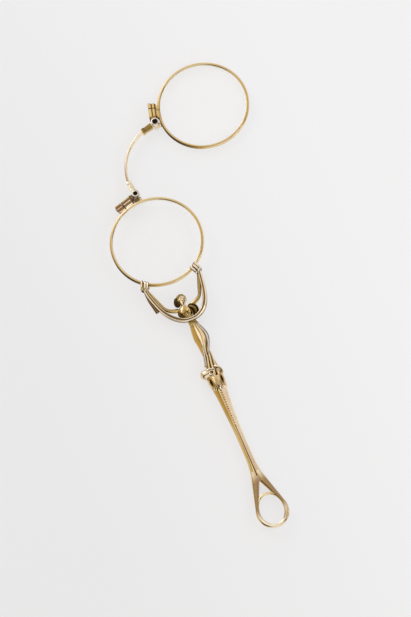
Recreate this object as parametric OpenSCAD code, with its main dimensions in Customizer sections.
// Folding lorgnette, open, lying on its back.
// The handle runs down -Y from the near lens. +Z is towards the viewer.
// Z = 0 is the surface under the hinge barrels, and the outline is centred on X = 0, Y = 0.

/* [Lenses] */
// Distance between the two lens centres when open
pupil_distance = 64; // [62:0.5:67]
// Angle of the line of lens centres from the handle's axis, in degrees
lens_line_angle = 39.6; // [36:0.2:43]
// Radius of each rim at the middle of its wire
rim_r = 18.9; // [18:0.1:19.2]
// Radial width of the rim wire
rim_w = 1.1; // [0.9:0.05:1.3]
// Height of the rim wire
rim_h = 2.0; // [1.6:0.1:2.2]
// Depth of the groove round the outside of the rim
rim_groove = 0.18; // [0.1:0.02:0.25]
// Thickness of each lens
lens_t = 1.3; // [1:0.05:1.5]
// Depth that the lens edge reaches into the rim
lens_bite = 0.32; // [0.2:0.02:0.4]
// Gap between the two rims when they lie over each other
stack_gap = 0.4; // [0.35:0.05:0.6]
// Width of the saw cut that opens each rim to take its lens
rim_cut = 0.2; // [0.15:0.05:0.3]

/* [Hinge barrels] */
// Radius of the hinge barrels
barrel_r = 1.65; // [1.6:0.05:1.8]
// Height of the hinge barrels
barrel_h = 6.0; // [5.8:0.1:6.6]
// Height of the bridge's eye between the two ears
eye_h = 2.0; // [1.6:0.1:2.4]
// Gap between the eye and each ear
ear_gap = 0.1; // [0.08:0.01:0.15]
// Radius of the pivot screw's shank
pivot_r = 0.6; // [0.5:0.05:0.7]
// Radial clearance between the pivot screw and the eye
pivot_clear = 0.05; // [0.02:0.01:0.08]
// Radius of the pivot screw's head
pivot_head_r = 1.1; // [1:0.05:1.2]
// Thickness of the pivot screw's head
pivot_head_t = 0.55; // [0.4:0.05:0.6]
// Depth of the recess that the head sits in
recess = 1.2; // [1:0.05:1.3]
// Width of the screwdriver slot in the heads
slot_w = 0.3; // [0.2:0.05:0.4]
// Distance of the near pivot outside the near rim
near_pivot_out = 3.35; // [3.05:0.05:3.75]
// Distance of the far pivot outside the far rim
far_pivot_out = 2.15; // [2.05:0.05:2.75]
// Direction of the near pivot from its lens centre, in degrees from +X
near_pivot_at = 90.8; // [89:0.2:93]
// Direction of the far pivot from its lens centre, in degrees from +X
far_pivot_at = 180; // [178:0.5:182]

/* [Closing blocks] */
// Radial width of the closing blocks outside the rim
block_w = 3.85; // [3.6:0.05:4]
// Height of the closing blocks
block_h = 4.4; // [4.4:0.1:4.8]
// Distance along the rim from each pivot to its block
block_start = 2.4; // [2.3:0.05:2.8]
// Length of the near block's long half
near_block_len = 4.9; // [4.5:0.1:5.4]
// Length of the near block's closing half
near_cap_len = 3.0; // [2.6:0.1:3.4]
// Length of the far block's long half
far_block_len = 4.1; // [3.8:0.1:4.6]
// Length of the far block's closing half
far_cap_len = 2.2; // [2:0.1:2.8]
// Radius of the two flutes along each block
flute_r = 0.3; // [0.2:0.05:0.35]
// Radius of the closing screw's shank
closing_r = 0.42; // [0.35:0.01:0.5]
// Radius of the closing screw's head
closing_head_r = 0.75; // [0.65:0.05:0.8]
// Thickness of the leaf spring inside each block
spring_t = 0.4; // [0.3:0.05:0.5]

/* [Bridge] */
// Radius of the bow's curve
bow_r = 21; // [20:0.5:24]
// Thickness of the bow in the lens plane
bow_w = 1.1; // [0.9:0.1:1.4]
// Height of the bow
bow_h = 2.4; // [2:0.1:2.8]
// Length of each tang from its pivot
tang_len = 6.8; // [6:0.1:7.4]
// Width of each tang
tang_w = 2.1; // [1.8:0.1:2.4]
// Height of each tang beside its barrel
tang_h = 4.0; // [3.6:0.1:4.4]

/* [Handle] */
// Distance from the near lens centre to the handle's end
handle_len = 129.6; // [124:0.2:136]
// Half width of the stem at its waist
stem_w = 1.6; // [1.3:0.1:1.9]
// Half depth of the stem at its waist
stem_d = 1.5; // [1.2:0.1:1.7]
// Outer radius of the chain loop
loop_r = 6.65; // [6.3:0.05:7.2]
// Half width of the chain loop's eye
eye_w = 4.75; // [4.4:0.05:4.9]
// Half length of the chain loop's eye
eye_l = 6.05; // [5.8:0.05:6.4]
// Thickness of the chain loop
loop_h = 2.2; // [1.8:0.1:2.6]
// Width of the loop's band at the handle's end
loop_band = 1.65; // [1.4:0.05:1.9]
// Width of the arc that closes the eye at the top
arc_w = 1.35; // [1:0.05:1.6]
// Height of the small triangular opening above the arc
tri_h = 5.0; // [4.4:0.1:5.6]

/* [Figure] */
// Length of the figure from the top of the head to the cup of leaves
figure_len = 41.8; // [40.6:0.2:43]
// Distance from the rim to the top of the figure's head
head_clear = 5.6; // [5:0.1:6.4]
// Radius of the figure's head
head_r = 1.75; // [1.6:0.05:1.9]
// Half width of the shoulders
shoulder_w = 3.4; // [3.1:0.1:3.7]
// Half width of the hips
hip_w = 3.0; // [2.7:0.1:3.2]
// Half depth of the hips
hip_d = 1.9; // [1.7:0.1:2]
// Half thickness of the arms
arm_w = 0.8; // [0.7:0.05:0.9]
// Half width of the drapery swag
swag_w = 1.15; // [1:0.05:1.3]
// Half depth of the drapery swag
swag_d = 0.85; // [0.7:0.05:1]
// Length of the loose end of the cloth
tail_len = 9.0; // [8:0.2:10]
// Half width of the loose end of the cloth where it is cut off
tail_w = 1.2; // [1:0.05:1.3]
// Radius of the gathered cloth beside the feet
bud_r = 2.0; // [1.7:0.05:2.2]
// Length of the cup of leaves under the figure
cup_len = 5.8; // [5.4:0.1:6.2]
// Half width of the cup of leaves
cup_w = 3.35; // [3.1:0.05:3.5]
// Length along the rim that each clasp holds
clasp_len = 4.4; // [3.8:0.1:5]
// Direction of the left clasp from the lens centre, in degrees from +X
left_clasp_at = -126; // [-130:1:-122]
// Direction of the right clasp from the lens centre, in degrees from +X
right_clasp_at = -59; // [-63:1:-55]

/* [Hidden] */
$fn = 48;

gold = "#c8a45c";
pale_gold = "#dcc48c";
copper_gold = "#b98452";
dark_steel = "#3a3128";
spring_steel = "#8d8f92";
clear_glass = [0.86, 0.92, 0.94, 0.35];

// Named clearances and overlaps
fork_len = 3.6;     // solid metal above the triangular opening
solder = 0.15;      // how far a soldered piece bites into its neighbour
rim_clear = 0.3;    // room between a block and the rim that folds past it
thread_bite = 0.02; // overlap of a screw thread and its hole
leaf_clear = 0.12;  // room round a leaf spring in its slot
edge = 0.15;        // small bevels on the rims
lens_clear = 0.04;  // play of the lens in its groove
bevel_rise = 0.1;   // the lens bevel starts this far inside the rim

rim_out = rim_r + rim_w / 2;
rim_in = rim_r - rim_w / 2;
near_pivot_d = rim_out + near_pivot_out;
far_pivot_d = rim_out + far_pivot_out;
far_rim_z = (barrel_h - 2 * rim_h - stack_gap) / 2;
near_rim_z = far_rim_z + rim_h + stack_gap;
mid_z = barrel_h / 2;
block_z = mid_z - block_h / 2;
block_out = rim_out + block_w;

// Frame: the outline is centred on the origin
dx = pupil_distance * sin(lens_line_angle);
dy = pupil_distance * cos(lens_line_angle);
near_c = [-dx / 2, (handle_len - dy - rim_out) / 2];
far_c = near_c + [dx, dy];

// Pivots and the bow between them
function polar(c, r, a) = c + r * [cos(a), sin(a)];
function heading(v) = atan2(v[1], v[0]);
near_pivot = polar(near_c, near_pivot_d, near_pivot_at);
far_pivot = polar(far_c, far_pivot_d, far_pivot_at);
chord = norm(far_pivot - near_pivot);
chord_dir = heading(far_pivot - near_pivot);
bow_half = asin(chord / 2 / bow_r);
bow_c = (near_pivot + far_pivot) / 2
    + bow_r * cos(bow_half) * [sin(chord_dir), -cos(chord_dir)];
tang_half = asin(tang_len / 2 / bow_r);
near_tang_dir = chord_dir + bow_half - tang_half;
far_tang_dir = chord_dir + 180 - bow_half + tang_half;

// Angles along each rim, away from its pivot
function turn(len, r) = len / r * 180 / PI;
near_a0 = turn(block_start, near_pivot_d);
near_split = near_a0 + turn(near_block_len, near_pivot_d);
near_a1 = near_split + turn(near_cap_len, near_pivot_d);
far_a0 = turn(block_start, far_pivot_d);
far_split = far_a0 + turn(far_block_len, far_pivot_d);
far_a1 = far_split + turn(far_cap_len, far_pivot_d);
cut_turn = turn(rim_cut, rim_out);

// The handle's stations, measured down from the near lens centre
handle_x = near_c[0] - 0.3;
head_top = near_c[1] - rim_out - head_clear;
calyx_y = head_top - figure_len;
loop_y = near_c[1] - handle_len + loop_r;
eye_rise = eye_l + loop_band - loop_r; // the eye's centre above the loop's
fork_y = loop_y + eye_rise + eye_l + arc_w + tri_h + fork_len;

// Smooth curve through a list of stations, with even steps between them
function blend(p0, p1, p2, p3, t) = 0.5 * (2 * p1 + (p2 - p0) * t
    + (2 * p0 - 5 * p1 + 4 * p2 - p3) * t * t
    + (3 * p1 - p0 - 3 * p2 + p3) * t * t * t);
function smooth(s, steps) = let (last = len(s) - 1) [
    for (i = [0 : last - 1])
        for (j = [0 : steps - 1])
            blend(s[max(i - 1, 0)], s[i], s[i + 1], s[min(i + 2, last)], j / steps),
    s[last]
];
function unit(v) = v / norm(v);
function place(s) = [s[0], s[1], s[2]];
// One oval ring of points round a station [x, y, z, half width, half depth]
function oval(s, ahead, sides, groove) = let (
    side = unit(cross([0, 0, 1], ahead)),
    up = cross(ahead, side)
) [
    for (k = [0 : sides - 1]) let (a = 360 * k / sides, dent = 1 - groove * pow(sin(a), 8))
        place(s) + s[3] * cos(a) * side + s[4] * dent * sin(a) * up
];

// A solid that swells and tapers along its stations
module swell(stations, steps = 4, sides = 12, groove = 0) {
    s = smooth(stations, steps);
    last = len(s) - 1;
    rings = [
        for (i = [0 : last])
            oval(s[i], unit(place(s[min(i + 1, last)]) - place(s[max(i - 1, 0)])), sides, groove)
    ];
    points = [for (ring = rings) for (p = ring) p];
    walls = [
        for (i = [0 : last - 1])
            for (k = [0 : sides - 1])
                let (a = i * sides + k, b = i * sides + (k + 1) % sides)
                for (f = [[a, b, b + sides], [a, b + sides, a + sides]]) [f[2], f[1], f[0]]
    ];
    first_cap = [for (k = [0 : sides - 1]) k];
    last_cap = [for (k = [sides - 1 : -1 : 0]) last * sides + k];
    polyhedron(points, concat([first_cap], walls, [last_cap]));
}

// A bar bent round the axis, from angle a0 to a1
module bent_bar(r0, r1, z0, z1, a0, a1) {
    rotate([0, 0, a0])
        rotate_extrude(angle = a1 - a0, $fn = 96)
            translate([r0, z0])
                square([r1 - r0, z1 - z0]);
}

// Moves a half that is drawn with its pivot along +X and its block anticlockwise
module at_near(angle) {
    translate([near_c[0], near_c[1], 0])
        rotate([0, 0, angle])
            children();
}

module at_far(angle) {
    translate([far_c[0], far_c[1], 0])
        rotate([0, 0, angle])
            children();
}

// Rim wire, cut through at the closing block, with a bead beside the barrel
module rim(split) {
    seat = lens_bite + lens_clear;
    mouth = lens_t / 2 * seat / (lens_bite + bevel_rise);
    rotate([0, 0, split + cut_turn / 2])
        rotate_extrude(angle = 360 - cut_turn, $fn = 128)
            polygon([
                [rim_in, edge], [rim_in + edge, 0], [rim_out - edge, 0], [rim_out, edge],
                [rim_out, rim_h / 2 - rim_groove], [rim_out - rim_groove, rim_h / 2],
                [rim_out, rim_h / 2 + rim_groove],
                [rim_out, rim_h - edge], [rim_out - edge, rim_h], [rim_in + edge, rim_h],
                [rim_in, rim_h - edge], [rim_in, rim_h / 2 + mouth],
                [rim_in + seat, rim_h / 2], [rim_in, rim_h / 2 - mouth]
            ]);
}

// Bead on the rim beside the barrel, on the side away from the block
module bead() {
    difference() {
        rotate([0, 0, -bead_turn])
            translate([rim_r + 0.35, 0, rim_h / 2])
                sphere(r = bead_r);
        cylinder(r = rim_in + lens_bite + 0.2, h = rim_h);
    }
}
bead_turn = 5;
bead_r = 0.8;

// Lens with a bevelled edge that sits in the rim's groove
module lens() {
    rotate_extrude($fn = 128)
        polygon([
            [0, -lens_t / 2], [rim_in - bevel_rise, -lens_t / 2], [rim_in + lens_bite, 0],
            [rim_in - bevel_rise, lens_t / 2], [0, lens_t / 2]
        ]);
}

// One half of a closing block, from angle a0 to a1, with its two flutes
module block_half(a0, a1, other_rim_z) {
    difference() {
        bent_bar(rim_out - solder, block_out, block_z, block_z + block_h, a0, a1);
        bent_bar(rim_out - 1, rim_out + rim_clear, other_rim_z - rim_clear,
            other_rim_z + rim_h + rim_clear, a0 - 2, a1 + 2);
        for (share = [0.36, 0.68])
            rotate([0, 0, a0 - 2])
                rotate_extrude(angle = a1 - a0 + 4, $fn = 96)
                    translate([rim_out + block_w * share, block_z + block_h])
                        circle(r = flute_r, $fn = 24);
    }
}

// Places something along the closing screw's straight line, which starts at the block's end
module on_screw_line(split, cap_len) {
    rotate([0, 0, split])
        translate([screw_at, cap_len, mid_z])
            rotate([90, 0, 0])
                children();
}
screw_at = rim_out + block_w * 0.62;

// Two ears of the barrel and the necks that join them to the block
module ears(pivot_d, a0) {
    ear_h = (barrel_h - eye_h) / 2 - ear_gap;
    neck = barrel_r - solder * 3.5;
    for (z = [0, barrel_h - ear_h]) {
        translate([pivot_d, 0, z])
            cylinder(r = barrel_r, h = ear_h);
        bent_bar(pivot_d - neck, min(pivot_d + neck, block_out),
            max(z, block_z), min(z + ear_h, block_z + block_h), 0, a0 + 1);
    }
}

// The long half of a closing block, with the ears, the screw holes and the spring slot
module hinge_block(pivot_d, a0, split, cap_len, other_rim_z) {
    half_cut = cut_turn / 2;
    difference() {
        union() {
            block_half(a0, split - half_cut, other_rim_z);
            ears(pivot_d, a0);
        }
        translate([pivot_d, 0, -1])
            cylinder(r = pivot_r - thread_bite, h = mid_z);
        translate([pivot_d, 0, mid_z])
            cylinder(r = pivot_r + pivot_clear, h = mid_z);
        translate([pivot_d, 0, barrel_h - recess])
            cylinder(r = pivot_head_r + pivot_clear, h = recess + 1);
        on_screw_line(split, cap_len)
            cylinder(r = closing_r - thread_bite, h = cap_len + closing_reach);
        bent_bar(leaf_in - leaf_clear, leaf_in + spring_t + leaf_clear,
            mid_z - eye_h / 2, mid_z + eye_h / 2, a0 - 2, split - leaf_root);
    }
}
closing_reach = 2.2;
leaf_in = rim_out + 0.75;
leaf_root = 2.6;

// The short half, clamped to the long half by the closing screw
module block_cap(split, a1, cap_len, other_rim_z) {
    difference() {
        block_half(split + cut_turn / 2, a1, other_rim_z);
        on_screw_line(split, cap_len + 1)
            cylinder(r = closing_r + 0.04, h = cap_len + 2);
        on_screw_line(split, cap_len + 1)
            cylinder(r = closing_head_r + 0.04, h = 1 + head_sink);
    }
}
head_sink = 0.7;

module closing_screw(split, cap_len) {
    difference() {
        union() {
            on_screw_line(split, cap_len - 0.25)
                cylinder(r = closing_head_r, h = head_sink - 0.27);
            on_screw_line(split, cap_len - 0.3)
                cylinder(r = closing_r, h = cap_len + closing_reach - 0.6);
        }
        on_screw_line(split, cap_len)
            translate([-slot_w / 2, -2, 0])
                cube([slot_w, 4, 0.42]);
    }
}

module pivot_screw(pivot_d) {
    head_z = barrel_h - recess + 0.02;
    translate([pivot_d, 0, 0])
        difference() {
            union() {
                translate([0, 0, 0.15])
                    cylinder(r = pivot_r, h = head_z);
                translate([0, 0, head_z])
                    cylinder(r = pivot_head_r, h = pivot_head_t);
            }
            translate([-2, -slot_w / 2, head_z + pivot_head_t - 0.25])
                cube([4, slot_w, 1]);
        }
}

// Leaf spring that leans on the flank of the bridge's eye, as in a pocket knife
module leaf_spring(a0, split) {
    bent_bar(leaf_in, leaf_in + spring_t, mid_z - eye_h / 2 + leaf_clear,
        mid_z + eye_h / 2 - leaf_clear, a0 - 0.8, split - leaf_root - 0.2);
}

// One end of the bridge: an eye on the pivot and a tapered bar to the bow
module tang(pivot, dir) {
    step_at = barrel_r + 0.3;
    low = mid_z - eye_h / 2;
    high = mid_z + eye_h / 2;
    translate([pivot[0], pivot[1], 0])
        rotate([0, 0, dir])
            difference() {
                union() {
                    translate([0, 0, low])
                        cylinder(r = barrel_r, h = eye_h);
                    translate([0, tang_w / 2, 0])
                        rotate([90, 0, 0])
                            linear_extrude(height = tang_w)
                                polygon([
                                    [0, low], [step_at, low], [step_at, mid_z - tang_h / 2],
                                    [tang_len, mid_z - bow_h / 2 - 0.2],
                                    [tang_len, mid_z + bow_h / 2 + 0.2],
                                    [step_at, mid_z + tang_h / 2], [step_at, high], [0, high]
                                ]);
                }
                translate([0, 0, low - 1])
                    cylinder(r = pivot_r + pivot_clear, h = eye_h + 2);
            }
}

module bow() {
    // the bow runs 1 mm into each tang, where it is soldered
    end = bow_half - 2 * asin((tang_len - 1) / 2 / bow_r);
    mid_dir = chord_dir + 90;
    translate([bow_c[0], bow_c[1], 0])
        bent_bar(bow_r - bow_w / 2, bow_r + bow_w / 2, mid_z - bow_h / 2, mid_z + bow_h / 2,
            mid_dir - end, mid_dir + end);
}

// Clasp that closes over the near rim, flush with the rim's back so the far rim can pass
module clasp(at) {
    half = turn(clasp_len, rim_out) / 2;
    top = near_rim_z + rim_h + clasp_over;
    at_near(at)
        difference() {
            union() {
                bent_bar(rim_in, rim_out + 1.1, near_rim_z, top, -half, half);
                translate([rim_out + 0.9, 0, near_rim_z + clasp_boss])
                    sphere(r = clasp_boss);
            }
            // the channel for the rim, shallower than the rim by the solder's bite
            bent_bar(rim_in - 1, rim_out - solder, near_rim_z - 1, near_rim_z + rim_h - solder,
                -half - 2, half + 2);
        }
}
clasp_over = 0.45;
clasp_boss = 1.15;
hand_r = rim_out + 1.4;
left_hand = polar(near_c, hand_r, left_clasp_at);
right_hand = polar(near_c, hand_r, right_clasp_at);
arm_z = near_rim_z + 1.05;
body_x = near_c[0];

// Height on the figure, as a share of its length down from the head's top
function down(share) = head_top - figure_len * share;

// The arms bow outwards from the shoulders, then rise to the clasps
module arm(hand, side) {
    shoulder = [body_x + shoulder_w * (side * 0.74 - 0.12), down(0.139)];
    elbow = [body_x + (hand[0] - body_x) * 0.65, down(0.093)];
    lean = hand - elbow;
    reach = elbow - shoulder;
    swell([
        [shoulder[0], shoulder[1], mid_z + 0.4, arm_w * 1.15, arm_w * 1.15],
        [shoulder[0] + reach[0] * 0.5, shoulder[1] + reach[1] * 0.15, mid_z + 0.9, arm_w, arm_w],
        [elbow[0], elbow[1], arm_z, arm_w * 0.95, arm_w],
        [elbow[0] + lean[0] * 0.45, elbow[1] + lean[1] * 0.4, arm_z, arm_w, arm_w],
        [elbow[0] + lean[0] * 0.8, elbow[1] + lean[1] * 0.78, arm_z, arm_w * 0.75, arm_w * 0.8],
        [hand[0], hand[1], arm_z, arm_w * 0.8, arm_w * 0.9]
    ]);
}

// Head with its hair and the knot of hair at the nape
module head() {
    x = body_x - head_r * 0.17;
    z = mid_z + 0.3;
    knot_y = head_top - head_r * 1.95;
    union() {
        swell([
            [x, head_top - head_r * 0.03, z, head_r * 0.28, head_r * 0.28],
            [x, head_top - head_r * 0.35, z, head_r * 0.82, head_r * 0.82],
            [x, head_top - head_r * 0.95, z, head_r, head_r],
            [x, head_top - head_r * 1.6, z, head_r * 0.9, head_r * 0.95],
            [x, head_top - head_r * 2.2, z, head_r * 0.62, head_r * 0.68],
            [x, head_top - head_r * 2.55, z, head_r * 0.3, head_r * 0.32]
        ]);
        swell([
            [x - head_r * 0.7, knot_y + head_r * 0.1, z - 0.1, head_r * 0.4, head_r * 0.45],
            [x - head_r * 1.2, knot_y, z - 0.1, head_r * 0.62, head_r * 0.65],
            [x - head_r * 1.7, knot_y - head_r * 0.05, z - 0.1, head_r * 0.5, head_r * 0.55],
            [x - head_r * 2.0, knot_y - head_r * 0.05, z - 0.1, head_r * 0.2, head_r * 0.2]
        ], sides = 10);
    }
}

// Shoulders, waist, the hips swung to the right, the knees and the hem
module body() {
    x = body_x;
    swell([
        [x - hip_w * 0.13, head_top - head_r * 2.39, mid_z + 0.3, head_r * 0.4, head_r * 0.4],
        [x - hip_w * 0.17, down(0.124), mid_z + 0.1, shoulder_w * 0.7, hip_d * 0.58],
        [x - hip_w * 0.17, down(0.158), mid_z, shoulder_w * 0.91, hip_d * 0.79],
        [x - hip_w * 0.07, down(0.21), mid_z, shoulder_w * 0.74, hip_d * 0.84],
        [x + hip_w * 0.1, down(0.292), mid_z, hip_w * 0.6, hip_d * 0.68],
        [x + hip_w * 0.37, down(0.407), mid_z, hip_w * 0.87, hip_d * 0.95],
        [x + hip_w * 0.4, down(0.493), mid_z, hip_w, hip_d],
        [x + hip_w * 0.23, down(0.612), mid_z, hip_w * 0.67, hip_d * 0.79],
        [x + hip_w * 0.13, down(0.727), mid_z, hip_w * 0.7, hip_d * 0.84],
        [x + hip_w * 0.07, down(0.828), mid_z, hip_w * 0.9, hip_d * 1.16],
        [x - hip_w * 0.07, down(0.9), mid_z, hip_w * 0.9, hip_d * 1.21]
    ], sides = 16);
}

// Swag of cloth that hangs from both hands and crosses in front of the hips
module swag() {
    low = [body_x, down(0.285)];
    low_z = mid_z + 2.0;
    end_z = arm_z + 0.5;
    function up_to(hand, across, up) = low + [
        (hand[0] - low[0]) * across, (hand[1] - low[1]) * up
    ];
    function stage(hand, across, up, z, w) = let (p = up_to(hand, across, up))
        [p[0], p[1], z, swag_w * w, swag_d];
    swell([
        stage(left_hand, 1.03, 1.015, end_z, 0.7),
        stage(left_hand, 0.89, 0.627, end_z, 0.85),
        stage(left_hand, 0.727, 0.359, end_z, 1),
        stage(left_hand, 0.424, 0.12, low_z - 0.1, 1),
        stage(left_hand, 0.016, 0, low_z, 1),
        stage(right_hand, 0.466, 0.089, low_z - 0.1, 1),
        stage(right_hand, 0.819, 0.325, end_z, 1),
        stage(right_hand, 0.968, 0.608, end_z, 0.85),
        stage(right_hand, 1.03, 1.015, end_z, 0.7)
    ], steps = 3);
}

// Loose end of the cloth that falls beside the left arm
module tail() {
    x = left_hand[0] - 0.1;
    y = left_hand[1];
    z = arm_z - 0.1;
    swell([
        [x - tail_len * 0.02, y + 0.2, z, tail_w * 0.46, swag_d * 0.7],
        [x - tail_len * 0.01, y - tail_len * 0.33, z, tail_w * 0.67, swag_d * 0.7],
        [x + tail_len * 0.03, y - tail_len * 0.67, z, tail_w * 0.88, swag_d * 0.7],
        [x + tail_len * 0.09, y - tail_len, z, tail_w, swag_d * 0.65]
    ]);
}

// Gathered cloth beside the feet
module bud() {
    x = body_x - bud_r * 1.7;
    y = calyx_y + cup_len * 1.067;
    swell([
        [x + bud_r * 0.95, y + bud_r * 0.2, mid_z, bud_r * 0.6, bud_r * 0.7],
        [x + bud_r * 0.5, y + bud_r * 0.2, mid_z, bud_r * 0.95, bud_r * 0.95],
        [x - bud_r * 0.15, y, mid_z, bud_r, bud_r],
        [x - bud_r * 0.7, y - bud_r * 0.1, mid_z, bud_r * 0.75, bud_r * 0.75],
        [x - bud_r, y - bud_r * 0.15, mid_z, bud_r * 0.3, bud_r * 0.35]
    ]);
}

// Cup of leaves that the figure rises from
module cup() {
    x = handle_x + 0.3;
    y = calyx_y;
    swell([
        [x, y + cup_len * 0.79, mid_z, cup_w * 0.87, cup_w * 0.69],
        [x, y + cup_len * 0.62, mid_z, cup_w, cup_w * 0.78],
        [x, y + cup_len * 0.345, mid_z, cup_w * 0.955, cup_w * 0.75],
        [x - 0.1, y, mid_z, cup_w * 0.87, cup_w * 0.66],
        [x - 0.15, y - cup_len * 0.21, mid_z, cup_w * 0.81, cup_w * 0.6]
    ], sides = 16);
}

// Stem, waisted towards the loop and grooved down the middle
module stem() {
    x = handle_x;
    top = calyx_y;
    span = top - fork_y;
    swell([
        [x + 0.15, top, mid_z, stem_w * 1.69, stem_d * 1.27],
        [x + 0.1, top - span * 0.12, mid_z, stem_w * 1.53, stem_d * 1.2],
        [x, top - span * 0.3, mid_z, stem_w * 1.25, stem_d * 1.1],
        [x, top - span * 0.5, mid_z, stem_w * 1.03, stem_d],
        [x, top - span * 0.7, mid_z, stem_w, stem_d * 0.93],
        [x, top - span * 0.88, mid_z, stem_w * 1.06, stem_d * 0.87],
        [x, fork_y - 0.6, mid_z, stem_w * 1.375, loop_h / 2]
    ], sides = 16, groove = 0.12);
}

// Outline of the loop: a circle with two straight sides that meet the stem
function touch(px, py, r) = let (d = norm([px, py]), a = heading([px, py]) - acos(r / d))
    r * [cos(a), sin(a)];
shoulder_x = stem_w * 1.4;
module loop_plate() {
    t = touch(shoulder_x, fork_y - loop_y, loop_r);
    union() {
        cylinder(r = loop_r, h = loop_h, $fn = 96);
        linear_extrude(height = loop_h)
            polygon([
                [-shoulder_x, fork_y - loop_y], [shoulder_x, fork_y - loop_y],
                t, [0, 0], [-t[0], t[1]]
            ]);
    }
}
function oval_point(a, grow) = [
    (eye_w + grow) * cos(a), eye_rise + (eye_l + grow) * sin(a)
];
module eye_outline(grow) {
    polygon([for (a = [0 : 7.5 : 352.5]) oval_point(a, grow)]);
}
module loop_void() {
    apex = eye_rise + eye_l + arc_w + tri_h;
    union() {
        eye_outline(0);
        polygon([[0, apex], oval_point(30, 0), [0, 0], oval_point(150, 0)]);
    }
}

module loop() {
    translate([handle_x, loop_y, mid_z - loop_h / 2])
        difference() {
            loop_plate();
            translate([0, 0, -1])
                linear_extrude(height = loop_h + 2)
                    loop_void();
        }
}

module arc() {
    translate([handle_x, loop_y, mid_z - loop_h / 2 + 0.2])
        linear_extrude(height = loop_h - 0.4)
            intersection() {
                difference() {
                    eye_outline(arc_w);
                    eye_outline(0);
                }
                loop_void();
            }
}

module near_rim() {
    color(gold)
        at_near(near_pivot_at)
            translate([0, 0, near_rim_z])
                union() {
                    rim(near_split);
                    bead();
                }
}
module near_lens() {
    color(clear_glass)
        translate([near_c[0], near_c[1], near_rim_z + rim_h / 2])
            lens();
}
module near_block() {
    color(gold)
        at_near(near_pivot_at)
            hinge_block(near_pivot_d, near_a0, near_split, near_cap_len, far_rim_z);
}
module near_block_cap() {
    color(copper_gold)
        at_near(near_pivot_at)
            block_cap(near_split, near_a1, near_cap_len, far_rim_z);
}
module near_closing_screw() {
    color(dark_steel)
        at_near(near_pivot_at)
            closing_screw(near_split, near_cap_len);
}
module near_pivot_screw() {
    color(dark_steel)
        at_near(near_pivot_at)
            pivot_screw(near_pivot_d);
}
module near_spring() {
    color(spring_steel)
        at_near(near_pivot_at)
            leaf_spring(near_a0, near_split);
}

// The far lens is the near one's mirror image: its block runs clockwise from the pivot
module far_half() {
    at_far(far_pivot_at)
        mirror([0, 1, 0])
            children();
}
module far_rim() {
    color(gold)
        far_half()
            translate([0, 0, far_rim_z])
                union() {
                    rim(far_split);
                    bead();
                }
}
module far_lens() {
    color(clear_glass)
        translate([far_c[0], far_c[1], far_rim_z + rim_h / 2])
            lens();
}
module far_block() {
    color(gold)
        far_half()
            hinge_block(far_pivot_d, far_a0, far_split, far_cap_len, near_rim_z);
}
module far_block_cap() {
    color(copper_gold)
        far_half()
            block_cap(far_split, far_a1, far_cap_len, near_rim_z);
}
module far_closing_screw() {
    color(dark_steel)
        far_half()
            closing_screw(far_split, far_cap_len);
}
module far_pivot_screw() {
    color(dark_steel)
        far_half()
            pivot_screw(far_pivot_d);
}
module far_spring() {
    color(spring_steel)
        far_half()
            leaf_spring(far_a0, far_split);
}

module bridge_bow() {
    color(pale_gold)
        bow();
}
module near_tang() {
    color(pale_gold)
        tang(near_pivot, near_tang_dir);
}
module far_tang() {
    color(gold)
        tang(far_pivot, far_tang_dir);
}

module left_clasp() {
    color(copper_gold)
        clasp(left_clasp_at);
}
module right_clasp() {
    color(copper_gold)
        clasp(right_clasp_at);
}
module left_arm() {
    color(gold)
        arm(left_hand, -1);
}
module right_arm() {
    color(gold)
        arm(right_hand, 1);
}
module figure_body() {
    color(gold)
        body();
}
module figure_head() {
    color(pale_gold)
        head();
}
module drapery_swag() {
    color(pale_gold)
        swag();
}
module drapery_tail() {
    color(gold)
        tail();
}
module hem_bud() {
    color(copper_gold)
        bud();
}
module calyx() {
    color(gold)
        cup();
}
module handle_stem() {
    color(gold)
        stem();
}
module chain_loop() {
    color(gold)
        loop();
}
module loop_arc() {
    color(pale_gold)
        arc();
}

near_rim();
near_lens();
near_block();
near_block_cap();
near_closing_screw();
near_pivot_screw();
near_spring();
far_rim();
far_lens();
far_block();
far_block_cap();
far_closing_screw();
far_pivot_screw();
far_spring();
bridge_bow();
near_tang();
far_tang();
left_clasp();
right_clasp();
left_arm();
right_arm();
figure_body();
figure_head();
drapery_swag();
drapery_tail();
hem_bud();
calyx();
handle_stem();
chain_loop();
loop_arc();
